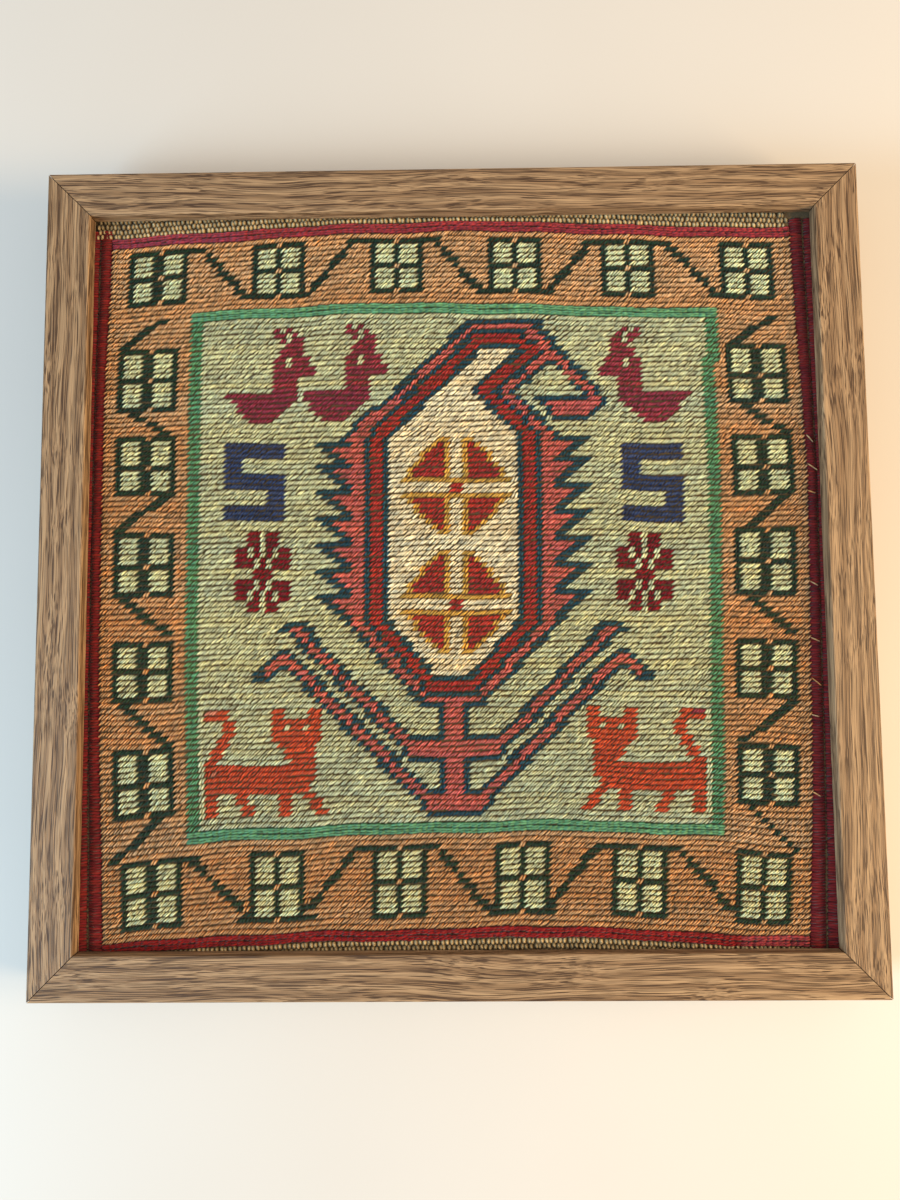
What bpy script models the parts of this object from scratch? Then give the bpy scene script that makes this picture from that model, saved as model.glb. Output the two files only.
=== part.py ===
"""Framed kilim: a flat-woven wool panel in a square, mitred wooden frame, lying on its back.

+Z is the way the woven face looks, +Y is the top edge, and the origin is the middle of the
frame's back. Lengths are in metres. The panel's edges run under the frame's front lip, and
a thin board lies behind it in the same rebate.
"""

import math

import bmesh
import bpy

# The frame
FRAME_SIDE = 0.356
FRAME_DEPTH = 0.030
RAIL_FACE = 0.019
LIP_THICK = 0.006
REBATE_WIDTH = 0.006
EDGE_ROUND = 0.0007
MITRE_GAP = 0.0003
FIT_GAP = 0.0003

# The woven panel: its rows run across it, and its bottom row starts at FIRST_ROW
UNDER_LIP = 0.0036
PANEL_THICK = 0.0030
ROW_DIP = 0.0009
CORD_DIP = 0.0006
ROWS = 135
ROW_HEIGHT = 0.002313
FIRST_ROW = -0.1550
END_BAND_ROWS = 3

# The board behind the panel
BOARD_THICK = 0.003

SIGHT = FRAME_SIDE - 2 * RAIL_FACE
LIP_UNDERSIDE = FRAME_DEPTH - LIP_THICK
PANEL_HALF = SIGHT / 2 + UNDER_LIP
PANEL_TOP = LIP_UNDERSIDE - FIT_GAP
PANEL_BACK = PANEL_TOP - PANEL_THICK

# How far a row droops below its own middle, in columns at these distances from the middle
DROOP_AT = (-0.146, -0.100, -0.050, 0.0, 0.050, 0.100, 0.146)

# The weave's unevenness: height of a row at its middle, its left and right ends beside the
# red edge cords, and its droop in the columns above
WEAVE_SHAPE = (
    (-0.155, -0.1490, 0.1470, (0.0058, 0.0028, 0.0006, 0.0, -0.0006, 0.0021, 0.0039)),
    (-0.115, -0.1503, 0.1495, (0.0080, 0.0034, 0.0008, 0.0, -0.0006, 0.0010, 0.0050)),
    (-0.085, -0.1518, 0.1512, (0.0045, 0.0020, 0.0005, 0.0, 0.0000, 0.0014, 0.0034)),
    (-0.045, -0.1532, 0.1520, (0.0015, 0.0007, 0.0002, 0.0, 0.0003, 0.0015, 0.0025)),
    (0.000, -0.1536, 0.1533, (0.0003, 0.0001, 0.0000, 0.0, 0.0005, 0.0018, 0.0024)),
    (0.045, -0.1536, 0.1540, (0.0003, 0.0001, 0.0000, 0.0, 0.0006, 0.0022, 0.0026)),
    (0.085, -0.1534, 0.1527, (0.0026, 0.0012, 0.0003, 0.0, 0.0010, 0.0026, 0.0036)),
    (0.120, -0.1522, 0.1512, (0.0052, 0.0023, 0.0006, 0.0, 0.0019, 0.0042, 0.0056)),
    (0.155, -0.1512, 0.1501, (0.0062, 0.0029, 0.0004, 0.0, 0.0009, 0.0035, 0.0048)),
)

# The two red edge cords on each side: share of the way out from a row's end, dip below the top
EDGE_CORDS = (
    (0.25, 0.0),
    (0.50, CORD_DIP),
    (0.75, 0.0),
    (1.00, CORD_DIP),
)


def clear_scene():
    for old in list(bpy.data.objects):
        bpy.data.objects.remove(old, do_unlink=True)


def finish(name, bm, colour, roughness):
    """Turn a bmesh into a named object with its own plain material."""
    bmesh.ops.recalc_face_normals(bm, faces=bm.faces)
    mesh = bpy.data.meshes.new(name)
    bm.to_mesh(mesh)
    bm.free()
    material = bpy.data.materials.new(name)
    material.use_nodes = True
    shader = material.node_tree.nodes["Principled BSDF"]
    shader.inputs["Base Color"].default_value = (*colour, 1.0)
    shader.inputs["Roughness"].default_value = roughness
    shader.inputs["Metallic"].default_value = 0.0
    mesh.materials.append(material)
    made = bpy.data.objects.new(name, mesh)
    bpy.context.scene.collection.objects.link(made)
    return made


def make_rail(name, turn):
    """A rebated rail along X, mitred at both ends, then turned into its side of the frame."""
    # Outward distance from the sight edge, height above the back
    section = (
        (0.0, FRAME_DEPTH),
        (RAIL_FACE, FRAME_DEPTH),
        (RAIL_FACE, 0.0),
        (REBATE_WIDTH, 0.0),
        (REBATE_WIDTH, LIP_UNDERSIDE),
        (0.0, LIP_UNDERSIDE),
    )
    bm = bmesh.new()
    corners = []
    for out, height in section:
        mitre = SIGHT / 2 + out - MITRE_GAP / math.sqrt(2)
        corners.append(bm.verts.new((-mitre, -SIGHT / 2 - out, height)))
    end = bm.faces.new(corners)
    grown = bmesh.ops.extrude_face_region(bm, geom=[end], use_keep_orig=True)
    for point in grown["geom"]:
        if isinstance(point, bmesh.types.BMVert):
            point.co.x = -point.co.x
    front = []
    for edge in bm.edges:
        first, second = (point.co for point in edge.verts)
        on_front = min(first.z, second.z) > FRAME_DEPTH - FIT_GAP
        if on_front and abs(first.y - second.y) < FIT_GAP:
            front.append(edge)
    bmesh.ops.bevel(
        bm, geom=front, offset=EDGE_ROUND, segments=2, profile=0.5, affect="EDGES", material=-1
    )
    rail = finish(name, bm, (0.36, 0.25, 0.15), 0.6)
    rail.rotation_euler = (0.0, 0.0, turn)
    return rail


def between(values, others, share):
    return [a + (b - a) * share for a, b in zip(values, others)]


def weave_shape(height):
    """A row's left and right ends and its droops, for the height of its middle."""
    held = min(max(height, WEAVE_SHAPE[0][0]), WEAVE_SHAPE[-1][0])
    for below, above in zip(WEAVE_SHAPE, WEAVE_SHAPE[1:]):
        if held <= above[0]:
            share = (held - below[0]) / (above[0] - below[0])
            ends = between(below[1:3], above[1:3], share)
            return *ends, between(below[3], above[3], share)


def row_line(step):
    """Height of a row line at the panel's middle, and how much of the rows' droop it takes.

    Steps run in half rows from the panel's bottom edge to its top edge. The loosely beaten
    end bands take up the droop, so the panel's own ends are straight.
    """
    band = END_BAND_ROWS * 2
    top = FIRST_ROW + ROWS * ROW_HEIGHT
    last = ROWS * 2 + band * 2
    if step < band:
        share = step / band
        return -PANEL_HALF + (FIRST_ROW + PANEL_HALF) * share, share
    if step > last - band:
        share = (last - step) / band
        return PANEL_HALF - (PANEL_HALF - top) * share, share
    return FIRST_ROW + (step - band) * ROW_HEIGHT / 2, 1.0


def make_kilim():
    """The panel: rows of wrapped yarn as ribs, two cords along each side, a flat back."""
    bm = bmesh.new()
    grid = []
    for step in range(ROWS * 2 + END_BAND_ROWS * 4 + 1):
        middle, droop_share = row_line(step)
        left, right, droops = weave_shape(middle)
        lines = [middle - droop_share * droop for droop in droops]
        height = PANEL_TOP - (0.0 if step % 2 else ROW_DIP)
        row = [(x, y, height) for x, y in zip((left, *DROOP_AT[1:-1], right), lines)]
        for way, dip in EDGE_CORDS:
            row.insert(0, (left - (PANEL_HALF + left) * way, lines[0], PANEL_TOP - dip))
            row.append((right + (PANEL_HALF - right) * way, lines[-1], PANEL_TOP - dip))
        grid.append([bm.verts.new(point) for point in row])
    for lower, upper in zip(grid, grid[1:]):
        for i in range(len(lower) - 1):
            bm.faces.new((lower[i], lower[i + 1], upper[i + 1], upper[i]))
    rim = [edge for edge in bm.edges if edge.is_boundary]
    walls = bmesh.ops.extrude_edge_only(bm, edges=rim)
    for point in walls["geom"]:
        if isinstance(point, bmesh.types.BMVert):
            point.co.z = PANEL_BACK
    bmesh.ops.edgenet_fill(bm, edges=[edge for edge in bm.edges if edge.is_boundary])
    return finish("kilim", bm, (0.42, 0.36, 0.22), 0.95)


def make_board():
    """A thin board behind the panel, loose in the rebate by a small gap all round."""
    side = SIGHT + 2 * (REBATE_WIDTH - FIT_GAP)
    bm = bmesh.new()
    bmesh.ops.create_cube(bm, size=1.0)
    bmesh.ops.scale(bm, vec=(side, side, BOARD_THICK), verts=bm.verts)
    board = finish("backing_board", bm, (0.24, 0.15, 0.08), 0.8)
    board.location.z = PANEL_BACK - FIT_GAP - BOARD_THICK / 2
    return board


clear_scene()
for place, name in enumerate(("rail_bottom", "rail_right", "rail_top", "rail_left")):
    make_rail(name, place * math.pi / 2)
make_kilim()
make_board()
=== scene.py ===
"""Kilim panel in a picture frame: wrapped-weft wool in a mitred oak frame, lying on its back."""

import math

import bmesh
import bpy
import numpy as np
from mathutils import Matrix, Vector


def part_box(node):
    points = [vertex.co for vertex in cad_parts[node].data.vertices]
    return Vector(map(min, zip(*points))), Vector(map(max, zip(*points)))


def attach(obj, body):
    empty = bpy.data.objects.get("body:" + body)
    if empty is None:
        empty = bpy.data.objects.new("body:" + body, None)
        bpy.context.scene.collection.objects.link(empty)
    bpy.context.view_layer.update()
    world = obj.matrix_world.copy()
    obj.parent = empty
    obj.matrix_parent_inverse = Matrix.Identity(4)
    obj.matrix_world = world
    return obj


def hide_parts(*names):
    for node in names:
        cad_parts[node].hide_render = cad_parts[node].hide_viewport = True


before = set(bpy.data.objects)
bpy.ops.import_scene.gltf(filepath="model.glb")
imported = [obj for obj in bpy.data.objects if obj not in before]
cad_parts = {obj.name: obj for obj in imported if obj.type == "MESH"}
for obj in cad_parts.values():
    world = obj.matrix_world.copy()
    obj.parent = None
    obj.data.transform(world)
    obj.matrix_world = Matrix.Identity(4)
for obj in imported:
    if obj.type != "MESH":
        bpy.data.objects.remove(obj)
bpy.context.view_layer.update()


# Rails: four lengths of rebated oak moulding, mitred, glued and oiled.
# The grain runs along each rail, with the long open pores of a ring-porous wood, and the
# mitres show as thin dark lines where two rails meet.
OAK_PALE = (164, 133, 101)
OAK_MIDDLE = (138, 108, 79)
OAK_PORE = (72, 49, 30)
OAK_ROUGHNESS = 0.62
OAK_RELIEF = 0.6
GRAIN_STRETCH = 75
GRAIN_BEND = 0.008
BEND_SCALE = 45
BEND_STRETCH = 4
RING_SCALE = 120
RING_WAVER = 4.0
STREAK_SCALE = 2200
PORE_SCALE = 2900
PORE_CROWDING = 0.06
PLANK_SHIFT = (0.37, 0.11, 0.0)
RELIEF_DEPTH = 0.0002
SCREEN_GAMMA = 2.2
RAIL_TURNS = {"rail_bottom": 0.0, "rail_right": math.pi / 2, "rail_top": math.pi,
              "rail_left": -math.pi / 2}


def dyed(red, green, blue):
    """A colour given as on a screen, 0 to 255, as the linear colour that a shader takes."""
    return (*((part / 255) ** SCREEN_GAMMA for part in (red, green, blue)), 1.0)


def grey(level):
    """A linear grey, and over 1 a tone that brightens what it multiplies."""
    return (level, level, level, 1.0)


def add_node(tree, kind, inputs=None, **settings):
    """Add a node, set its own settings, and fill its sockets with values or links."""
    added = tree.nodes.new(kind)
    for setting, value in settings.items():
        setattr(added, setting, value)
    for socket, value in (inputs or {}).items():
        if isinstance(value, bpy.types.NodeSocket):
            tree.links.new(value, added.inputs[socket])
        else:
            added.inputs[socket].default_value = value
    return added


def noise(tree, place, scale, detail, **more):
    """How strong a cloudy pattern is, from 0 to 1."""
    return add_node(tree, "ShaderNodeTexNoise", {"Vector": place, "Scale": scale,
                                                 "Detail": detail, **more}).outputs["Fac"]


def mixed(tree, share, first, second, blend="MIX"):
    """Two colours mixed by a share, or by one of the paint modes."""
    mixer = add_node(tree, "ShaderNodeMix", {0: share, 6: first, 7: second},
                     data_type="RGBA", blend_type=blend)
    return mixer.outputs[2]


def multiplied(tree, first, second):
    """Two colours multiplied."""
    return mixed(tree, 1.0, first, second, "MULTIPLY")


def ramp(tree, value, *stops):
    """A value turned into a colour along stops, each a place and a colour."""
    ramped = add_node(tree, "ShaderNodeValToRGB", {"Fac": value})
    for place, colour in stops[2:]:
        ramped.color_ramp.elements.new(place)
    for element, (place, colour) in zip(ramped.color_ramp.elements, stops):
        element.position = place
        element.color = colour
    return ramped.outputs["Color"]


def new_material(name, roughness, sheen=0.0):
    """A material with its own tree, its shader and the Object coordinates."""
    made = bpy.data.materials.new(name)
    made.use_nodes = True
    tree = made.node_tree
    shader = tree.nodes["Principled BSDF"]
    shader.inputs["Roughness"].default_value = roughness
    shader.inputs["Sheen Weight"].default_value = sheen
    place = add_node(tree, "ShaderNodeTexCoord").outputs["Object"]
    return made, tree, shader, place


def bumped(tree, shader, height, strength):
    """Fine relief that follows a height."""
    bump = add_node(tree, "ShaderNodeBump", {"Height": height, "Distance": RELIEF_DEPTH,
                                             "Strength": strength})
    tree.links.new(bump.outputs["Normal"], shader.inputs["Normal"])


def refinish(node, material):
    """Give one of the frame's solids its finish."""
    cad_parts[node].data.materials.clear()
    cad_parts[node].data.materials.append(material)


def oak(name, turn):
    """Oiled oak whose grain runs along a rail turned this far from the X axis."""
    made, tree, shader, place = new_material(name, OAK_ROUGHNESS)
    shift = tuple(part * turn for part in PLANK_SHIFT)
    along = add_node(tree, "ShaderNodeMapping", {"Vector": place, "Location": shift,
                                                 "Rotation": (0.0, 0.0, -turn)}).outputs[0]
    slow = add_node(tree, "ShaderNodeMapping", {"Vector": along,
                                                "Scale": (1 / BEND_STRETCH, 1.0, 1.0)}).outputs[0]
    bend = add_node(tree, "ShaderNodeTexNoise", {"Vector": slow, "Scale": BEND_SCALE,
                                                 "Detail": 1.0}).outputs["Color"]
    bent = add_node(tree, "ShaderNodeVectorMath", {0: bend, 1: (0.0, GRAIN_BEND, GRAIN_BEND),
                                                   2: along},
                    operation="MULTIPLY_ADD").outputs[0]
    grain = add_node(tree, "ShaderNodeMapping", {"Vector": bent,
                                                 "Scale": (1 / GRAIN_STRETCH, 1.0, 1.0)}).outputs[0]
    rings = add_node(tree, "ShaderNodeTexWave", {"Vector": grain, "Scale": RING_SCALE,
                                                 "Distortion": RING_WAVER, "Detail": 2.0,
                                                 "Detail Scale": 0.8},
                     bands_direction="DIAGONAL").outputs["Fac"]
    streaks = noise(tree, grain, STREAK_SCALE, 3.0, Roughness=0.7)
    pores = noise(tree, grain, PORE_SCALE, 1.0, Roughness=0.5)
    wood = ramp(tree, rings, (0.1, dyed(*OAK_PALE)), (0.9, dyed(*OAK_MIDDLE)))
    tone = ramp(tree, streaks, (0.38, grey(0.64)), (0.60, grey(1.15)))
    wood = multiplied(tree, wood, tone)
    crowded = add_node(tree, "ShaderNodeMath", {0: rings, 1: -PORE_CROWDING, 2: pores},
                       operation="MULTIPLY_ADD").outputs[0]
    open_pore = ramp(tree, crowded, (0.38, grey(1.0)), (0.45, grey(0.0)))
    wood = mixed(tree, open_pore, wood, dyed(*OAK_PORE))
    tree.links.new(wood, shader.inputs["Base Color"])
    bumped(tree, shader, mixed(tree, 1.0, tone, open_pore, "SUBTRACT"), OAK_RELIEF)
    return made


for rail, turn in RAIL_TURNS.items():
    refinish(rail, oak(f"oiled oak of {rail}", turn))


# Backing board: a thin sheet of brown hardboard that lies in the same rebate, behind the cloth.
# Its back shows when the frame is turned over: fine felted fibres, a little mottled.
BOARD_PALE = (128, 94, 64)
BOARD_DARK = (96, 68, 46)
BOARD_ROUGHNESS = 0.8
BOARD_RELIEF = 0.4
FELT_SCALE = 900
MOTTLE_SCALE = 22


def hardboard():
    """Pressed wood fibre, with the fibres as flecks over a slow mottling."""
    made, tree, shader, place = new_material("brown hardboard", BOARD_ROUGHNESS)
    felt = noise(tree, place, FELT_SCALE, 4.0, Distortion=1.5)
    mottle = noise(tree, place, MOTTLE_SCALE, 5.0)
    colour = ramp(tree, mottle, (0.3, dyed(*BOARD_DARK)), (0.7, dyed(*BOARD_PALE)))
    flecks = ramp(tree, felt, (0.35, grey(0.7)), (0.65, grey(1.15)))
    tree.links.new(multiplied(tree, colour, flecks), shader.inputs["Base Color"])
    bumped(tree, shader, felt, BOARD_RELIEF)
    return made


refinish("backing_board", hardboard())


# Ground cloth: the plain brown-grey wool weave that all the coloured yarn is wrapped round. It is
# one ribbed sheet from rebate to rebate, and it shows only deep between the rows. The rows droop
# towards the sides, as the real panel was beaten and mounted.
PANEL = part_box("kilim")
PANEL_HALF = PANEL[1].x
PANEL_TOP = PANEL[1].z
PANEL_BACK = PANEL[0].z
ROWS = 135
ROW_HEIGHT = 0.002313
FIRST_ROW = -0.1550
END_BAND_ROWS = 3
GROUND_DEPTH = 0.0013
GROUND_RIB = 0.0003
GROUND_SPANS = 58
GROUND_DARK = (84, 68, 46)
GROUND_PALE = (112, 92, 64)
GROUND_FIBRES = 1400
GROUND_ROUGHNESS = 0.95
GROUND_SHEEN = 0.2
GROUND_RELIEF = 0.6
# How far a row droops below its own middle, in columns at these distances from the middle
DROOP_AT = (-0.146, -0.100, -0.050, 0.0, 0.050, 0.100, 0.146)
# Height of a row at its middle, its left end, its right end, its droop in the columns above
WEAVE_SHAPE = (
    (-0.155, -0.1490, 0.1470, (0.0058, 0.0028, 0.0006, 0.0, -0.0006, 0.0021, 0.0039)),
    (-0.115, -0.1503, 0.1495, (0.0080, 0.0034, 0.0008, 0.0, -0.0006, 0.0010, 0.0050)),
    (-0.085, -0.1518, 0.1512, (0.0045, 0.0020, 0.0005, 0.0, 0.0000, 0.0014, 0.0034)),
    (-0.045, -0.1532, 0.1520, (0.0015, 0.0007, 0.0002, 0.0, 0.0003, 0.0015, 0.0025)),
    (0.000, -0.1536, 0.1533, (0.0003, 0.0001, 0.0000, 0.0, 0.0005, 0.0018, 0.0024)),
    (0.045, -0.1536, 0.1540, (0.0003, 0.0001, 0.0000, 0.0, 0.0006, 0.0022, 0.0026)),
    (0.085, -0.1534, 0.1527, (0.0026, 0.0012, 0.0003, 0.0, 0.0010, 0.0026, 0.0036)),
    (0.120, -0.1522, 0.1512, (0.0052, 0.0023, 0.0006, 0.0, 0.0019, 0.0042, 0.0056)),
    (0.155, -0.1512, 0.1501, (0.0062, 0.0029, 0.0004, 0.0, 0.0009, 0.0035, 0.0048)),
)
SHAPE_HEIGHTS, LEFT_ENDS, RIGHT_ENDS, DROOPS = zip(*WEAVE_SHAPE)


def row_ends(row):
    """Where rows start beside the left edge cords, and end beside the right ones."""
    middle = FIRST_ROW + row * ROW_HEIGHT
    return np.interp(middle, SHAPE_HEIGHTS, LEFT_ENDS), np.interp(middle, SHAPE_HEIGHTS, RIGHT_ENDS)


def row_height(across, row):
    """Height on the panel of a place this far across it, on a row counted from the bottom."""
    middle = FIRST_ROW + row * ROW_HEIGHT
    droops = np.array([np.interp(middle, SHAPE_HEIGHTS, droop) for droop in zip(*DROOPS)])
    spot = np.interp(across, DROOP_AT, np.arange(len(DROOP_AT)))
    before = np.minimum(spot.astype(int), len(DROOP_AT) - 2)
    share = spot - before
    left_droop = np.take_along_axis(droops, before[None], 0)[0]
    right_droop = np.take_along_axis(droops, before[None] + 1, 0)[0]
    return middle - left_droop * (1 - share) - right_droop * share


def wool_ground():
    """Undyed brown-grey wool, matt and faintly downy."""
    made, tree, shader, place = new_material("brown wool ground", GROUND_ROUGHNESS, GROUND_SHEEN)
    fibres = noise(tree, place, GROUND_FIBRES, 3.0)
    colour = ramp(tree, fibres, (0.3, dyed(*GROUND_DARK)), (0.7, dyed(*GROUND_PALE)))
    tree.links.new(colour, shader.inputs["Base Color"])
    bumped(tree, shader, fibres, GROUND_RELIEF)
    return made


def make_ground():
    """A thin sheet whose face is ribbed along the rows, and whose edges run into the rebates."""
    lines = (ROWS + 2 * END_BAND_ROWS) * 2
    bm = bmesh.new()
    bmesh.ops.create_grid(bm, x_segments=GROUND_SPANS, y_segments=lines, size=1.0)
    grid = np.array([point.co[:] for point in bm.verts])
    step = np.rint((grid[:, 1] + 1) / 2 * lines)
    row = step / 2 - END_BAND_ROWS
    across = grid[:, 0] * PANEL_HALF
    # The end bands' lines move from the rows' own shape to the sheet's straight edge
    rows_in = np.minimum(row + END_BAND_ROWS, ROWS + END_BAND_ROWS - row)
    share = np.clip(rows_in / END_BAND_ROWS, 0.0, 1.0)
    inner = row_height(across, np.clip(row, 0, ROWS))
    edge = np.sign(row - ROWS / 2) * PANEL_HALF
    height = edge + (inner - edge) * share
    top = PANEL_TOP - GROUND_DEPTH - np.where(step % 2 == 0, GROUND_RIB, 0.0)
    for point, spot in zip(bm.verts, zip(across, height, top)):
        point.co = spot
    rim = [side for side in bm.edges if side.is_boundary]
    walls = bmesh.ops.extrude_edge_only(bm, edges=rim)
    for point in walls["geom"]:
        if isinstance(point, bmesh.types.BMVert):
            point.co.z = PANEL_BACK
    bmesh.ops.edgenet_fill(bm, edges=[side for side in bm.edges if side.is_boundary])
    bmesh.ops.recalc_face_normals(bm, faces=bm.faces)
    mesh = bpy.data.meshes.new("ground_cloth")
    bm.to_mesh(mesh)
    bm.free()
    mesh.materials.append(wool_ground())
    made = bpy.data.objects.new("ground_cloth", mesh)
    bpy.context.scene.collection.objects.link(made)
    return made


ground = make_ground()
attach(ground, "root")
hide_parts("kilim")


# Wraps: hand-spun two-ply wool, wrapped round the ground warps row by row. Each place of the
# design's chart is one wrap. Its plies lie side by side and lean the same way, so that a row
# reads as a low rope, and each yarn colour is a piece.
COLUMNS = 115
# Each yarn's colours, from its coolest skein to its warmest
DYES = {
    "tan": ((220, 184, 144), (222, 174, 124), (224, 164, 104)),
    "pale_green": ((212, 218, 190), (222, 222, 186), (228, 222, 174)),
    "dark_green": ((38, 66, 56), (42, 70, 50), (56, 74, 44)),
    "green": ((106, 166, 130), (114, 170, 126), (124, 172, 120)),
    "navy": ((60, 78, 124), (68, 82, 122), (78, 84, 114)),
    "burgundy": ((158, 62, 84), (168, 66, 80), (176, 70, 74)),
    "crimson": ((136, 22, 38), (148, 26, 36), (164, 36, 34)),
    "cream": ((248, 240, 214), (250, 238, 208), (252, 232, 192)),
    "gold": ((214, 178, 92), (224, 182, 90), (232, 180, 80)),
    "brick_red": ((178, 58, 58), (190, 64, 54), (202, 70, 50)),
    "coral": ((210, 116, 114), (220, 122, 110), (228, 128, 106)),
    "teal": ((42, 84, 104), (48, 88, 100), (56, 92, 94)),
    "orange": ((210, 92, 56), (222, 100, 58), (232, 110, 62)),
    "pane_green": ((222, 228, 196), (230, 230, 190), (238, 230, 182)),
    "pink": ((214, 138, 112), (226, 150, 124), (232, 160, 130)),
    "rose_red": ((162, 58, 70), (172, 64, 70), (182, 70, 66)),
}
(TAN, PALE_GREEN, DARK_GREEN, GREEN, NAVY, BURGUNDY, CRIMSON, CREAM, GOLD, BRICK_RED, CORAL, TEAL,
 ORANGE, PANE_GREEN, PINK, ROSE_RED) = range(len(DYES))
# The design: which yarn is wrapped at each place, by columns from the left and rows from the
# bottom. Borders, stripes and the paisley are laid by rule, the small figures from short charts.
LINE_WIDTH = 0.8
chart = np.full((ROWS, COLUMNS), TAN)
cell_column, cell_row = np.meshgrid(np.arange(COLUMNS) + 0.5, np.arange(ROWS) + 0.5)


def block(yarn, columns, rows):
    """A plain block, up to but not including the second column and row."""
    chart[rows[0]:rows[1], columns[0]:columns[1]] = yarn


def inside(*outlines):
    """The places whose middles lie inside any outline, a tuple of corners by column and row."""
    found = np.zeros(chart.shape, bool)
    for corners in outlines:
        within = np.zeros(chart.shape, bool)
        for (column, row), (next_column, next_row) in zip(corners, corners[1:] + corners[:1]):
            if row != next_row:
                crossed = (row <= cell_row) != (next_row <= cell_row)
                reach = column + (cell_row - row) * (next_column - column) / (next_row - row)
                within ^= crossed & (cell_column < reach)
        found |= within
    return found


def slanted(start, end, wide=LINE_WIDTH):
    """The outline of a slanted line: in each row as long as its slope needs, and wide more."""
    (column, row), (last_column, last_row) = start, end
    half = (wide + abs((last_column - column) / (last_row - row))) / 2
    return ((column - half, row), (column + half, row),
            (last_column + half, last_row), (last_column - half, last_row))


def grown(places):
    """The same places and their four neighbours."""
    wider = places.copy()
    wider[1:] |= places[:-1]
    wider[:-1] |= places[1:]
    wider[:, 1:] |= places[:, :-1]
    wider[:, :-1] |= places[:, 1:]
    return wider


def figure(marks, left, bottom, rows, mirrored=False):
    """A small figure from its chart, given from its top row down."""
    for up, line in enumerate(reversed(rows)):
        for across, mark in enumerate(reversed(line) if mirrored else line):
            if mark in marks:
                chart[bottom + up, left + across] = marks[mark]


# Red bands at both ends, two rows each, which change colour on the way
RED_ROWS = 2
block(CRIMSON, (0, 104), (0, RED_ROWS))
block(BURGUNDY, (104, COLUMNS), (0, RED_ROWS))
block(ROSE_RED, (0, COLUMNS), (ROWS - RED_ROWS, ROWS))
block(BURGUNDY, (0, 22), (ROWS - RED_ROWS, ROWS))

# The green rectangle and the pale field inside it
RECTANGLE = ((13.8, 19), (101.3, 19), (101.3, 100), (101.8, 119), (13.8, 119))
FIELD = ((15.8, 21), (99.2, 21), (99.2, 100), (99.8, 117), (15.8, 117))
chart[inside(RECTANGLE)] = GREEN
chart[inside(FIELD)] = PALE_GREEN

# Windows along the top and the foot, each by its left column and width, and the bars that join
# them to the vines, each by its columns. A bar lies level with its window's top, the next with
# its window's foot.
WINDOWS_ALONG = ((3, 10), (24, 9), (44, 9), (64, 9), (83, 9), (103, 9))
TOP_BARS = ((3, 16), (23, 34), (41, 55), (63, 74), (81, 95), (103, 112))
FOOT_BARS = ((3, 16), (22, 35), (41, 55), (63, 74), (80, 94), (103, 112))
TOP_ROWS = (121, 11)
FOOT_ROWS = (4, 13)
# Windows down the sides, each by its lowest row and height
LEFT_WINDOWS = ((99, 13), (82, 12), (63, 12), (44, 11), (24, 12))
RIGHT_WINDOWS = ((100, 12), (82, 12), (63, 13), (44, 11), (25, 11))
LEFT_COLUMN = 2
RIGHT_COLUMN = 103
SIDE_WIDTH = 10


def window(left, bottom, wide, tall):
    """A dark window with four pale panes and bars one wrap wide, tan at its heart, top and foot."""
    pane = (wide - 3) // 2
    middle = bottom + 1 + (tall - 3) // 2
    block(DARK_GREEN, (left, left + wide), (bottom, bottom + tall))
    for first in (left + 1, left + wide - 1 - pane):
        block(PANE_GREEN, (first, first + pane), (bottom + 1, middle))
        block(PANE_GREEN, (first, first + pane), (middle + 1, bottom + tall - 1))
    heart = left + wide // 2
    for row in (bottom, middle, bottom + tall - 1):
        chart[row, heart] = TAN


for (bottom, tall), bars in ((TOP_ROWS, TOP_BARS), (FOOT_ROWS, FOOT_BARS)):
    for number, ((left, wide), bar) in enumerate(zip(WINDOWS_ALONG, bars)):
        bar_row = bottom + tall - 1 if number % 2 == 0 else bottom
        block(DARK_GREEN, bar, (bar_row, bar_row + 1))
        window(left, bottom, wide, tall)
for left, windows in ((LEFT_COLUMN, LEFT_WINDOWS), (RIGHT_COLUMN, RIGHT_WINDOWS)):
    for bottom, tall in windows:
        window(left, bottom, SIDE_WIDTH, tall)

# Vines that zigzag from window to window: along the top, the foot, the left side, the right side
VINES = (
    ((15.2, 132), (23.4, 120.9)), ((33.0, 120.8), (41.4, 131.8)), ((54.8, 131.6), (63.0, 120.9)),
    ((73.5, 120.9), (81.3, 131.6)), ((94.3, 131.7), (102.6, 121)),
    ((14.6, 15.9), (24.0, 4.9)), ((33.5, 5.6), (41.6, 16.7)), ((54.8, 16.2), (63.2, 4.9)),
    ((72.8, 5.2), (80.4, 16.3)), ((93.9, 16.2), (102.8, 5.6)),
    ((9.6, 118.4), (2.0, 112.0)), ((4.0, 99.5), (11.3, 93.6)), ((10.6, 82.1), (2.4, 75.0)),
    ((2.8, 63.3), (11.4, 56.0)), ((3.0, 44.4), (11.2, 36.5)), ((10.4, 24.3), (1.7, 17.1)),
    ((111.1, 117.8), (104.0, 111.8)), ((105.3, 99.9), (112.4, 94.0)),
    ((112.4, 83.2), (104.8, 75.5)), ((105.2, 62.9), (112.6, 56.0)),
    ((112.5, 43.9), (103.8, 36.0)), ((104.7, 25.2), (112.6, 17.4)),
)
chart[inside(*(slanted(*vine) for vine in VINES))] = DARK_GREEN

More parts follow.
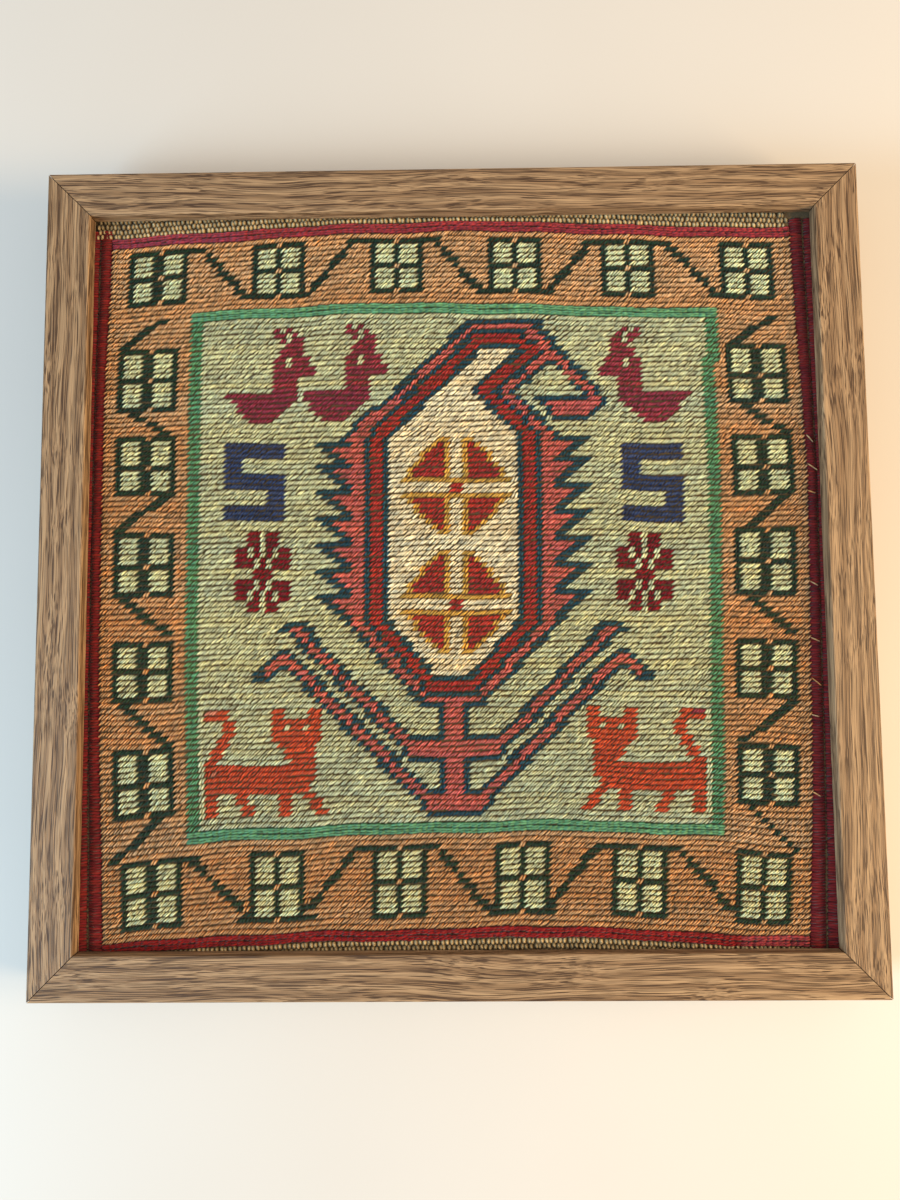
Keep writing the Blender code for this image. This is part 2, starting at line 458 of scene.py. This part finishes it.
# Birds, two looking right and one looking left. The second one's tail is a wrap shorter.
BIRD = (
    "........#.#....",
    "........##.#...",
    ".........#.##..",
    "..........###..",
    ".........####..",
    ".........####..",
    "........##o###.",
    "........##o###.",
    "........#######",
    "........#######",
    "........####...",
    "........####...",
    "........####...",
    "############...",
    ".###########...",
    "..#########....",
    "..########.....",
    "...######......",
    "....####.......",
)
BIRD_FOOT = 96
for left, mirrored in ((20, False), (32, False), (82, True)):
    figure({"#": BURGUNDY, "o": PALE_GREEN}, left, BIRD_FOOT, BIRD, mirrored)
block(PALE_GREEN, (32, 33), (BIRD_FOOT + 5, BIRD_FOOT + 6))

# Hooked figures, three rows to a bar
HOOK_BARS = ("##########", "###.......", "##########", ".......###", "##########")
HOOK = tuple(bar for bar in HOOK_BARS for _ in range(3))
HOOK_FOOT = 77
for left in (20, 85):
    figure({"#": NAVY}, left, HOOK_FOOT, HOOK)

# Rosettes
ROSETTE = (
    "..##.##..",
    "..##.##..",
    "..##.##..",
    "##o#o#o##",
    "##o#o#o##",
    "###o#o###",
    "###o#o###",
    "...###...",
    "...###...",
    "###o#o###",
    "###o#o###",
    "##o#o#o##",
    "##o#o#o##",
    "..##.##..",
    "..##.##..",
)
ROSETTE_FOOT = 60
for left in (22, 84):
    figure({"#": CRIMSON, "o": PALE_GREEN}, left, ROSETTE_FOOT, ROSETTE)

# Four-footed beasts, facing each other across the paisley's foot. x is the tip of the tail, o an
# eye, and p one pink wrap that only the left one has.
BEAST = (
    "xx##.......##....##.",
    "####.......##....##.",
    "...##......########.",
    "...##......##o##o##.",
    "...##......########.",
    "..##.......########.",
    "..##........######..",
    ".##..........#####..",
    ".##..........#####..",
    "##............####..",
    "##################..",
    "#p################..",
    "##################..",
    "#################...",
    "#################...",
    "##...##.....##..##..",
    "##...##.....##...##.",
    "##....##....##...##.",
    "##....##....##....##",
)
BEAST_FOOT = 23
figure({"#": ORANGE, "x": PINK, "o": PALE_GREEN, "p": PINK}, 17, BEAST_FOOT, BEAST)
figure({"#": ORANGE, "x": BURGUNDY, "o": PALE_GREEN, "p": ORANGE}, 78, BEAST_FOOT, BEAST, True)

# The paisley: a cream heart in bands of teal, red, teal and coral, with a last line of teal.
# A band is given by how far its outer edge lies from the heart, sideways and up.
HEART = ((47.2, 57.9), (55.0, 47.8), (59.8, 47.8), (68.0, 58.2), (68.1, 92.9), (60.4, 102.2),
         (68.8, 110.0), (62.9, 110.0), (47.4, 92.8))
TEAL_EDGE = (7.5, 6)
CORAL_EDGE = (6.2, 5)
INNER_BANDS = ((TEAL, 4.4, 4), (BRICK_RED, 3.4, 3), (TEAL, 1.2, 1))
SPREAD_SHARES = (0.0, 0.2, 0.4, 0.6, 0.8, 1.0)
SPREAD_ROUNDING = 0.7


def spread(corners, wide, tall):
    """The places inside an outline that is moved out sideways by wide, up and down by tall."""
    places = inside(corners)
    for share in SPREAD_SHARES:
        reach = wide * (1 - SPREAD_ROUNDING * share)
        for x in (-reach, 0.0, reach):
            for y in (-tall * share, tall * share):
                places |= inside(tuple((column + x, row + y) for column, row in corners))
    return places


# Its flanks, with a shoulder at the left, two lower corners, and saw teeth down both sides
TOOTH_ROOT = 41
TOOTH_REACH = 6
TOOTH_STEP = 5
TOOTH_EDGE = 2
LEFT_TEETH = (91, 87, 82, 77, 72, 67, 62)
RIGHT_TEETH = (92, 88, 83, 78, 73, 68, 63)
FLANK = ((43, 61.5), (43, 92), (TOOTH_ROOT, 92), (TOOTH_ROOT, 61.5))
SHOULDER = ((38.8, 91.5), (43, 91.5), (48, 98.5), (45.2, 98.5))
LEFT_CORNER = ((37.7, 61.5), (43, 61.5), (43, 56), (42.8, 56))
RIGHT_CORNER = ((77.3, 62.5), (72, 62.5), (72, 56), (72.2, 56))
flanks = inside(FLANK)
flanks |= flanks[:, ::-1] | inside(SHOULDER, LEFT_CORNER, RIGHT_CORNER)
teeth_edge = np.zeros(chart.shape, bool)
for teeth, flipped in ((LEFT_TEETH, False), (RIGHT_TEETH, True)):
    for row, next_row in zip(teeth, teeth[1:] + (teeth[-1] - TOOTH_STEP,)):
        runs = [(row, TOOTH_ROOT - TOOTH_REACH, TOOTH_ROOT, teeth_edge)]
        for down in range(1, row - next_row):
            tip = TOOTH_ROOT - TOOTH_REACH + down
            runs.append((row - down, tip, tip + TOOTH_EDGE, teeth_edge))
            runs.append((row - down, tip + TOOTH_EDGE, TOOTH_ROOT, flanks))
        for line, first, last, places in runs:
            if flipped:
                first, last = COLUMNS - last, COLUMNS - first
            places[line, first:last] = True

# Its stem, with a cross bar and a foot
STEM = (
    ((56, 24), (58.8, 24), (58.8, 45), (56, 45)),
    ((50, 33), (65, 33), (65, 36), (50, 36)),
    ((53, 23.4), (62.2, 23.4), (63.4, 26.2), (51.9, 26.2)),
)
# Its arms, each a pair of slanted stripes: the upper one has a flat cap, the lower one a hook
ARM_STRIPES = (
    ((31.8, 56.6), (49.9, 35.2)),
    ((30.0, 51.8), (52.2, 25.9)),
    ((27.0, 47.8), (29.8, 51.8)),
)
ARM_CAPS = (
    ((30.2, 58), (34.2, 58), (34.8, 56), (29.0, 56)),
    ((29.0, 53), (31.0, 53), (32.0, 51), (27.6, 51)),
    ((24.8, 47), (27.8, 47), (29.0, 50), (25.8, 50)),
)
ARM_EDGE_WIDTH = 3.1
# The leaf at the right of its tip, and the coral bowl that it ends in
LEAF = ((70.3, 114.6), (81.4, 100.2))
LEAF_WIDTH = 1.0
LEAF_EDGE = ((70.6, 115.6), (81.4, 100.2))
LEAF_EDGE_WIDTH = 3.0
BOWL = ((72.6, 100.2), (82.2, 100.2), (78.9, 96.6), (75.0, 96.6))
BOWL_RIM = ((70.6, 101.4), (80.4, 101.4), (80.4, 99.8), (72, 99.8))
stem = inside(*STEM)
arms = inside(*(slanted(*stripe) for stripe in ARM_STRIPES))
arm_edges = inside(*ARM_CAPS, *(slanted(*stripe, ARM_EDGE_WIDTH) for stripe in ARM_STRIPES))
arms |= arms[:, ::-1]
arm_edges |= arm_edges[:, ::-1]
leaf = inside(slanted(*LEAF, LEAF_WIDTH))
leaf_edge = inside(slanted(*LEAF_EDGE, LEAF_EDGE_WIDTH), BOWL_RIM)
bowl = inside(BOWL)
chart[spread(HEART, *TEAL_EDGE) | grown(flanks | stem | bowl) | arm_edges | leaf_edge] = TEAL
chart[spread(HEART, *CORAL_EDGE) | flanks | stem | arms | leaf | bowl] = CORAL
chart[teeth_edge] = TEAL
for yarn, wide, tall in INNER_BANDS:
    chart[spread(HEART, wide, tall)] = yarn
chart[inside(HEART)] = CREAM

# Two diamonds in the heart: a red square and four red triangles, outlined in gold. The chart
# is the left half, which the right half mirrors.
DIAMOND = (
    "......gg.",
    ".....grg.",
    "....grrg.",
    "...grrrg.",
    "...grrrg.",
    "..grrrrg.",
    ".grrrrrg.",
    ".grrrrrg.",
    "ggggggggg",
    "........r",
    "........r",
    "ggggggggg",
    ".grrrrrg.",
    "..grrrrg.",
    "..grrrrg.",
    "...grrrg.",
    "....grrg.",
    ".....grg.",
    "......gg.",
)
DIAMOND_LEFT = 49
for bottom in (74, 52):
    rows = tuple(line + line[::-1] for line in DIAMOND)
    figure({"g": GOLD, "r": BRICK_RED}, DIAMOND_LEFT, bottom, rows)

# The wraps' own sizes, and how unevenly a hand lays them
COLUMN_WIDTH = 0.00266
PLY_LENGTH = 0.0037
PLY_WIDTH = 0.00084
PLY_THICK = 0.0012
PLY_FULLNESS = 0.5
PLY_SIDES = 4
PLY_RINGS = 4
PLY_TURNS = 1.5
PLY_STRANDS = 2
NEAR_TIP = 0.99
TIP_DROP = 0.0006
TIP_CURVE = 3
MOST_PLIES = 8200
UNEVEN_SHIFT = 0.00012
UNEVEN_HEIGHT = 0.0001
UNEVEN_TOP = 0.00007
UNEVEN_LEAN = math.radians(4)
UNEVEN_LENGTH = 0.10
UNEVEN_WIDTH = 0.07
UNEVEN_SHADE = 0.15
UNEVEN_WARMTH = 0.10
# A free wrap has its own yarn on both sides, and one at a colour's edge is a little shorter. A
# lone one stands steep between two other yarns. A calm one, in the red bands and the green lines,
# lies almost level, with one ply above the other, and is painted darker as painted shade for the
# grooves that its flat plies lack. For each kind in that order: its lean, its length and width
# against a free one's, its brightness with that painted shade, and how far apart its two plies lie
# along the row and across it.
FREE, BESIDE, LONE, CALM = range(4)
WRAP_LEAN = np.array([math.radians(lean) for lean in (38, 38, 56, 5)])
WRAP_LENGTH = np.array((1.0, 0.94, 0.8, 1.15))
WRAP_WIDTH = np.array((1.0, 1.0, 1.25, 1.9))
WRAP_PAINTED_SHADE = np.array((1.0, 1.0, 1.0, 0.80))
PLIES_ALONG = np.array((0.0012, 0.0012, 0.0012, 0.0))
PLIES_ABOVE = np.array((0.0, 0.0, 0.0, 0.0009))
CALM_ROWS = (0, 1, 133, 134)
CALM_GREEN_ROWS = (19, 20, 117, 118)
EASED = 6
# How the rows wave, start and change colour, and how much painted light pales and cools them towards
# the top
WAVE_REACH = 0.00025
WAVE_PACES = (0.11, 0.23, 0.41)
WAVE_DRIFT = 0.35
ROW_START = 0.4
WARMTH_MEMORY = 0.55
SHADE_MEMORY = 0.3
DRIFT_REACH = 0.25
TOP_LIGHT_COOLING = 0.5
TOP_LIGHT_PALING = 0.16
ROW_SHADE = 1.05
ROW_SHADE_DRIFT = 0.10
# The wool's surface
WOOL_ROUGHNESS = 0.9
WOOL_SHEEN = 0.10
WOOL_SPECULAR = 0.2
WOOL_RELIEF = 0.8
FIBRE_SCALE = 2600
FIBRE_DARK = 0.78
FIBRE_PALE = 1.22
# Painted shade: how dark the dye is made where shade falls between plies and rows, and how much a
# row's edge adds to it
CREVICE_SHADE_TONE = 0.58
VALLEY_SHADE_SHARE = 0.7
draws = np.random.default_rng(7)


def on_rows(column, row):
    """Where a place counted in wraps across and rows up lies on the panel."""
    left, right = row_ends(row)
    across = left + (right - left) * column / COLUMNS
    return across, row_height(across, row)


def make_ply():
    """One ply of a wrap: its points along, across and up, from -1 to 1, its faces, its map."""
    bm = bmesh.new()
    bmesh.ops.create_uvsphere(bm, u_segments=PLY_SIDES, v_segments=PLY_RINGS, radius=1.0)
    level = Matrix.Rotation(math.pi / 2, 3, "Y")
    bmesh.ops.rotate(bm, cent=(0, 0, 0), matrix=level, verts=bm.verts)
    for point in bm.verts:
        full = 1 + PLY_FULLNESS * point.co.x ** 2
        point.co.y *= full
        point.co.z *= full
    bmesh.ops.recalc_face_normals(bm, faces=bm.faces)
    points = np.array([point.co[:] for point in bm.verts])
    faces = []
    ply = []
    for face in bm.faces:
        faces.append([point.index for point in face.verts])
        turns = [math.atan2(point.co.z, point.co.y) / math.tau % 1.0 for point in face.verts]
        body = [turn for turn, point in zip(turns, face.verts) if abs(point.co.x) < NEAR_TIP]
        # A face across the map's seam is laid whole on its far side, and a tip gets its face's middle
        split = max(body) - min(body) > 0.5
        body = [turn + 1 if split and turn < 0.5 else turn for turn in body]
        for turn, point in zip(turns, face.verts):
            if abs(point.co.x) > NEAR_TIP:
                turn = sum(body) / len(body)
            elif split and turn < 0.5:
                turn += 1
            ply.append((turn, point.co.x))
    bm.free()
    return points, faces, np.array(ply)


ply_points, ply_faces, ply_map = make_ply()


def wool(name, cool, middle, warm):
    """Hand-spun wool: the dye varies from skein to skein, and painted shade darkens and deepens it
    down the plies' flanks and towards the valleys between rows.
    """
    made, tree, shader, place = new_material(name, WOOL_ROUGHNESS, WOOL_SHEEN)
    shader.inputs["Specular IOR Level"].default_value = WOOL_SPECULAR
    warmth, shade, painted_shade = (
        add_node(tree, "ShaderNodeAttribute", attribute_name=attribute).outputs["Fac"]
        for attribute in ("warmth", "shade", "painted_shade"))
    twist = add_node(tree, "ShaderNodeUVMap", uv_map="ply").outputs["UV"]
    slant = add_node(tree, "ShaderNodeVectorMath",
                     {0: twist, 1: (math.tau * PLY_STRANDS, math.tau, 0)},
                     operation="DOT_PRODUCT").outputs["Value"]
    strands = add_node(tree, "ShaderNodeMath", {0: slant}, operation="SINE").outputs[0]
    fibres = noise(tree, place, FIBRE_SCALE, 2.0)
    dye = ramp(tree, warmth, (0.0, dyed(*cool)), (0.5, dyed(*middle)), (1.0, dyed(*warm)))
    dye = multiplied(tree, dye, mixed(tree, fibres, grey(FIBRE_DARK), grey(FIBRE_PALE)))
    tone = add_node(tree, "ShaderNodeCombineColor", {0: shade, 1: shade, 2: shade}).outputs[0]
    dye = multiplied(tree, dye, tone)
    # Painted shade: towards the plies' flanks and the valleys between rows the dye is darkened and
    # deepened, where shade falls between the wraps
    deep = multiplied(tree, multiplied(tree, dye, dye), grey(CREVICE_SHADE_TONE))
    shade_share = ramp(tree, painted_shade, (0.26, grey(0.0)), (0.95, grey(1.0)))
    tree.links.new(mixed(tree, shade_share, dye, deep), shader.inputs["Base Color"])
    height = add_node(tree, "ShaderNodeMath", {0: strands, 1: fibres}, operation="ADD").outputs[0]
    bumped(tree, shader, height, WOOL_RELIEF)
    return made


def join_plies(name, material, across, up, top, lean, size, drop, off, reach, shade, warmth,
               place=None):
    """One piece of many plies, bent down at both tips.

    size is each ply's length, width and thickness, drop how far its tips bend down, off how
    far its middle lies above its row's middle line, and reach how far out the row's edge is.
    place turns flat spots into the real ones on the panel.
    """
    count = len(across)
    length, width, thick = (np.broadcast_to(part, count)[:, None] for part in size)
    along, beside, raised = (ply_points[None, :, i] for i in range(3))
    cos = np.cos(lean)[:, None]
    sin = np.sin(lean)[:, None]
    x = across[:, None] + along * length / 2 * cos - beside * width / 2 * sin
    y = up[:, None] + along * length / 2 * sin + beside * width / 2 * cos
    if place:
        x, y = place(x, y)
    z = top[:, None] - thick / 2 + raised * thick / 2 - drop * np.abs(along) ** TIP_CURVE
    spots = np.stack([x, y, z], -1).reshape(-1, 3)
    each = len(ply_points)
    faces = [[corner + each * i for corner in face] for i in range(count) for face in ply_faces]
    mesh = bpy.data.meshes.new(name)
    mesh.from_pydata(spots, [], faces)
    mesh.shade_smooth()
    ply = np.tile(ply_map, (count, 1))
    ply[:, 0] += np.repeat(draws.random(count), len(ply_map))
    mesh.uv_layers.new(name="ply").data.foreach_set("uv", (ply * (1.0, PLY_TURNS / 2)).ravel())
    # Painted shade: each point's share of it grows towards its row's edges and down the ply's flanks
    off = np.broadcast_to(off, count)[:, None] + along * length / 2 * sin + beside * width / 2 * cos
    painted_shade = np.clip(VALLEY_SHADE_SHARE * np.abs(off) / reach + (1 - raised), 0, 1)
    for attribute, values in (("shade", np.repeat(shade, each)),
                              ("warmth", np.repeat(warmth, each)),
                              ("painted_shade", np.broadcast_to(painted_shade, x.shape).ravel())):
        mesh.attributes.new(attribute, "FLOAT", "POINT").data.foreach_set("value", values)
    mesh.materials.append(material)
    made = bpy.data.objects.new(name, mesh)
    bpy.context.scene.collection.objects.link(made)
    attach(made, "root")


def drifting(count, memory):
    """Values from 0 to 1 that drift from one to the next, as a skein's dye does."""
    values = np.zeros(count)
    last = 0.0
    for i, push in enumerate(draws.normal(0, 1, count)):
        last = last * memory + push * math.sqrt(1 - memory ** 2)
        values[i] = last
    return np.clip(0.5 + values * DRIFT_REACH, 0, 1)


# Painted light: the rows are painted paler and cooler from the bottom up, as the light is stronger
# and cooler at the top
climbed = np.linspace(-0.5, 0.5, ROWS)
row_warmth = drifting(ROWS, WARMTH_MEMORY) - TOP_LIGHT_COOLING * climbed
row_shade = ROW_SHADE + ROW_SHADE_DRIFT * (drifting(ROWS, SHADE_MEMORY) - 0.5) + TOP_LIGHT_PALING * climbed
row_start = draws.uniform(-ROW_START, ROW_START, ROWS) * COLUMN_WIDTH
wave = np.cumsum(draws.normal(0, WAVE_DRIFT, (len(WAVE_PACES), ROWS)), 1)
# Which kind of wrap each place has
like_left = chart[:, 1:-1] == chart[:, :-2]
like_right = chart[:, 1:-1] == chart[:, 2:]
kinds = np.full(chart.shape, BESIDE)
kinds[:, 1:-1][like_left & like_right] = FREE
kinds[:, 1:-1][~like_left & ~like_right] = LONE
# Free wraps may shift along the row, more with each place that they lie from a colour's edge
ease = np.zeros(chart.shape)
inner = kinds == FREE
for _ in range(EASED):
    ease += inner / EASED
    inner[:, 1:-1] = inner[:, 1:-1] & inner[:, :-2] & inner[:, 2:]
calm = np.isin(cell_row - 0.5, CALM_ROWS)
calm |= np.isin(cell_row - 0.5, CALM_GREEN_ROWS) & (chart == GREEN)
kinds[calm] = CALM
for number, yarn in enumerate(DYES):
    rows, columns = (np.repeat(places, 2) for places in np.nonzero(chart == number))
    sides = np.tile((-1, 1), len(rows) // 2)
    parts = math.ceil(len(rows) / MOST_PLIES)
    material = wool(f"{yarn} wool", *DYES[yarn])
    for part, chosen in enumerate(np.array_split(np.arange(len(rows)), parts)):
        row = rows[chosen]
        column = columns[chosen]
        side = sides[chosen]
        kind = kinds[row, column]
        count = len(chosen)
        sway = sum(np.sin(column * pace + wave[i, row])
                   for i, pace in enumerate(WAVE_PACES)) * WAVE_REACH
        shift = row_start[row] * ease[row, column] + draws.normal(0, UNEVEN_SHIFT, count)
        lean = WRAP_LEAN[kind] + draws.normal(0, UNEVEN_LEAN, count)
        apart = PLIES_ALONG[kind] * side / 2
        off = PLIES_ABOVE[kind] * side / 2
        join_plies(
            f"wraps_{yarn}" if parts == 1 else f"wraps_{yarn}_{part + 1}",
            material,
            (column + 0.5) * COLUMN_WIDTH + apart + shift,
            (row + 0.5) * ROW_HEIGHT + sway + off + draws.normal(0, UNEVEN_HEIGHT, count),
            PANEL_TOP + draws.normal(0, UNEVEN_TOP, count),
            lean,
            (PLY_LENGTH * WRAP_LENGTH[kind] * (1 + draws.normal(0, UNEVEN_LENGTH, count)),
             PLY_WIDTH * WRAP_WIDTH[kind] * (1 + draws.normal(0, UNEVEN_WIDTH, count)),
             PLY_THICK),
            TIP_DROP,
            off,
            ROW_HEIGHT / 2,
            row_shade[row] * WRAP_PAINTED_SHADE[kind] * (1 + draws.normal(0, UNEVEN_SHADE, count)),
            np.clip(row_warmth[row] + draws.normal(0, UNEVEN_WARMTH, count), 0, 1),
            lambda x, y: on_rows(x / COLUMN_WIDTH, y / ROW_HEIGHT),
        )


# Edge cords: along each side the last warps are wrapped together in dark red wool as two
# firm cords, round and finely ribbed, whose outer one runs under the frame's lip.
CORD_DYES = ((98, 24, 34), (112, 30, 34), (124, 38, 34))
CORD_SHARES = (0.25, 0.75)
CORD_STEP = 0.5
CORD_BEYOND = 2.0
CORD_OVERLAP = 0.0008
CORD_WRAP_WIDTH = 0.0019
CORD_DROP = 0.0016
CORD_REACH = 0.0018
CORD_WOBBLE = 0.0001
CORD_PACE = 0.31
CORD_LAG = 4
CORD_UNEVEN_WOBBLE = 0.00005
CORD_UNEVEN_TOP = 0.00006
CORD_UNEVEN_SHADE = 0.12
CORD_WARMTH = (0.5, 0.25)
cord_wool = wool("dark red cord wool", *CORD_DYES)
for side, name in ((-1, "edge_cords_left"), (1, "edge_cords_right")):
    row = np.tile(np.arange(-CORD_BEYOND, ROWS + CORD_BEYOND, CORD_STEP), 2)
    share = np.repeat(CORD_SHARES, len(row) // 2)
    left, right = row_ends(row)
    row_end = np.abs(left if side < 0 else right)
    spare = PANEL_HALF - row_end
    count = len(row)
    cord_x = side * (row_end + spare * share)
    height = row_height(cord_x, row)
    kept = np.abs(height) < PANEL_HALF - CORD_WRAP_WIDTH
    wobble = np.sin(row * CORD_PACE + share * CORD_LAG) * CORD_WOBBLE
    wobble += draws.normal(0, CORD_UNEVEN_WOBBLE, count)
    join_plies(
        name,
        cord_wool,
        (cord_x + wobble)[kept],
        height[kept],
        PANEL_TOP + draws.normal(0, CORD_UNEVEN_TOP, count)[kept],
        draws.normal(0, UNEVEN_LEAN, count)[kept],
        ((spare / 2 + CORD_OVERLAP)[kept], CORD_WRAP_WIDTH, PLY_THICK),
        CORD_DROP,
        0.0,
        CORD_REACH,
        (1 + draws.normal(0, CORD_UNEVEN_SHADE, count))[kept],
        np.clip(draws.normal(*CORD_WARMTH, count), 0, 1)[kept],
    )


# End bands: beyond the red bands the ground is twined with undyed wool, in loose rows of short
# upright loops at each end, the outer ones hidden by the frame's lip. Each row further out is
# painted darker, partly as browner wool and partly as painted shadow of the lip.
TWINE_DYES = ((180, 162, 128), (194, 174, 136), (206, 182, 142))
TWINE_START = -0.158
TWINE_END = 0.1495
TWINE_STEP = 0.0019
TWINE_ROWS = 4
TWINE_LENGTH = 0.0027
TWINE_WIDTH = 0.0018
TWINE_REACH = 0.0017
TWINE_SUNK = 0.0002
TWINE_BROWNING_AND_SHADOW = 0.13
TWINE_UNEVEN_SHIFT = 0.00018
TWINE_UNEVEN_HEIGHT = 0.00012
TWINE_UNEVEN_TOP = 0.0001
TWINE_UNEVEN_LEAN = math.radians(9)
TWINE_UNEVEN_SHADE = 0.10
twine_wool = wool("undyed beige wool", *TWINE_DYES)
for way, name in ((-1, "end_band_bottom"), (1, "end_band_top")):
    steps = np.arange(TWINE_START, TWINE_END, TWINE_STEP)
    line = np.repeat(np.arange(TWINE_ROWS), len(steps))
    count = len(line)
    loop_x = np.tile(steps, TWINE_ROWS) + (line % 2) * TWINE_STEP / 2
    loop_x += draws.normal(0, TWINE_UNEVEN_SHIFT, count)
    start = 0 if way < 0 else ROWS
    height = row_height(loop_x, start + way * (line + 0.5))
    height += draws.normal(0, TWINE_UNEVEN_HEIGHT, count)
    kept = np.abs(height) < PANEL_HALF - TWINE_LENGTH / 2
    join_plies(
        name,
        twine_wool,
        loop_x[kept],
        height[kept],
        PANEL_TOP - TWINE_SUNK + draws.normal(0, TWINE_UNEVEN_TOP, count)[kept],
        math.pi / 2 + draws.normal(0, TWINE_UNEVEN_LEAN, count)[kept],
        (TWINE_LENGTH, TWINE_WIDTH, PLY_THICK),
        TIP_DROP,
        0.0,
        TWINE_REACH,
        # Each row further out is painted darker: partly browner wool, partly painted shadow of the
        # frame's lip
        ((1 - TWINE_BROWNING_AND_SHADOW * line) * (1 + draws.normal(0, TWINE_UNEVEN_SHADE, count)))[kept],
        draws.random(count)[kept],
    )


# Stray yarn: a few ends of the tan wool were left long where its wraps turn back, and lie loose
# over the right edge cords. Each has its height on the panel, its length, and its lean in degrees.
STRAY_ENDS = np.array((
    (0.060, 0.0050, -50), (0.047, 0.0060, -35), (0.036, 0.0042, -20), (-0.004, 0.0045, -30),
    (-0.028, 0.0050, -25), (-0.046, 0.0060, -40), (-0.060, 0.0040, -15), (-0.092, 0.0045, -30),
))
STRAY_OUT = 0.4
STRAY_WIDTH = 0.0007
STRAY_THICK = 0.0006
STRAY_RAISED = 0.0002
STRAY_DROP = 0.0004
STRAY_REACH = 0.01
STRAY_SHADE = 0.95
stray_height, stray_length, stray_lean = STRAY_ENDS.T
stray_row = (stray_height - FIRST_ROW) / ROW_HEIGHT
stray_x = row_ends(stray_row)[1] + stray_length * STRAY_OUT
join_plies(
    "stray_yarn",
    wool("stray tan wool", *DYES["tan"]),
    stray_x,
    row_height(stray_x, stray_row),
    np.full(len(stray_x), PANEL_TOP + STRAY_RAISED),
    np.radians(stray_lean),
    (stray_length, STRAY_WIDTH, STRAY_THICK),
    STRAY_DROP,
    0.0,
    STRAY_REACH,
    np.full(len(stray_x), STRAY_SHADE),
    draws.random(len(stray_x)),
)


# Floor, light and camera: a pale table in soft window light, cool from the left and warm
# from the right, seen from above as the panel lies on its back.
TABLE_REACH = 3.0
TABLE_DARK = (208, 203, 200)
TABLE_PALE = (214, 210, 208)
TABLE_ROUGHNESS = 0.5
TABLE_CLOUDS = 3.0
# Each light's place, size, power and colour
WINDOW = ((-1.1, -0.45, 0.65), 0.7, 18.0, (0.50, 0.80, 1.0))
LAMP = ((1.0, -0.2, 0.55), 0.6, 18.5, (1.0, 0.70, 0.35))
ROOM_COLOUR = (1.0, 0.94, 0.84, 1.0)
ROOM_STRENGTH = 0.61
CAMERA_SPOT = Vector((0.00266, -0.04038, 0.39779))
CAMERA_AIM = Vector((-0.01157, 0.07511, -0.99711))
CAMERA_UP = Vector((0.00907, 0.99714, 0.07501))
CAMERA_LENS = 26.1


def make_floor():
    """The table top, smooth and faintly cloudy."""
    bm = bmesh.new()
    bmesh.ops.create_grid(bm, x_segments=2, y_segments=2, size=TABLE_REACH)
    mesh = bpy.data.meshes.new("table_top")
    bm.to_mesh(mesh)
    bm.free()
    made, tree, shader, place = new_material("pale table", TABLE_ROUGHNESS)
    clouds = noise(tree, place, TABLE_CLOUDS, 3.0)
    colour = ramp(tree, clouds, (0.3, dyed(*TABLE_DARK)), (0.7, dyed(*TABLE_PALE)))
    tree.links.new(colour, shader.inputs["Base Color"])
    mesh.materials.append(made)
    floor = bpy.data.objects.new("table_top", mesh)
    bpy.context.scene.collection.objects.link(floor)


def soft_light(name, spot, size, power, colour):
    """A square area light aimed at the panel."""
    lamp = bpy.data.lights.new(name, "AREA")
    lamp.size = size
    lamp.energy = power
    lamp.color = colour
    made = bpy.data.objects.new(name, lamp)
    made.location = spot
    made.rotation_euler = (-Vector(spot)).to_track_quat("-Z", "Y").to_euler()
    bpy.context.scene.collection.objects.link(made)


def make_camera():
    """The camera above the panel, a little towards its foot, looking almost straight down."""
    lens = bpy.data.cameras.new("camera")
    lens.lens = CAMERA_LENS
    made = bpy.data.objects.new("camera", lens)
    bpy.context.scene.collection.objects.link(made)
    back = -CAMERA_AIM.normalized()
    right = CAMERA_UP.cross(back).normalized()
    turned = Matrix((right, back.cross(right), back)).transposed().to_4x4()
    made.matrix_world = Matrix.Translation(CAMERA_SPOT) @ turned
    bpy.context.scene.camera = made


make_floor()
make_camera()
soft_light("window", *WINDOW)
soft_light("lamp", *LAMP)
room = bpy.data.worlds.new("room")
bpy.context.scene.world = room
room.use_nodes = True
room.node_tree.nodes["Background"].inputs["Color"].default_value = ROOM_COLOUR
room.node_tree.nodes["Background"].inputs["Strength"].default_value = ROOM_STRENGTH
bpy.context.scene.view_settings.view_transform = "Standard"
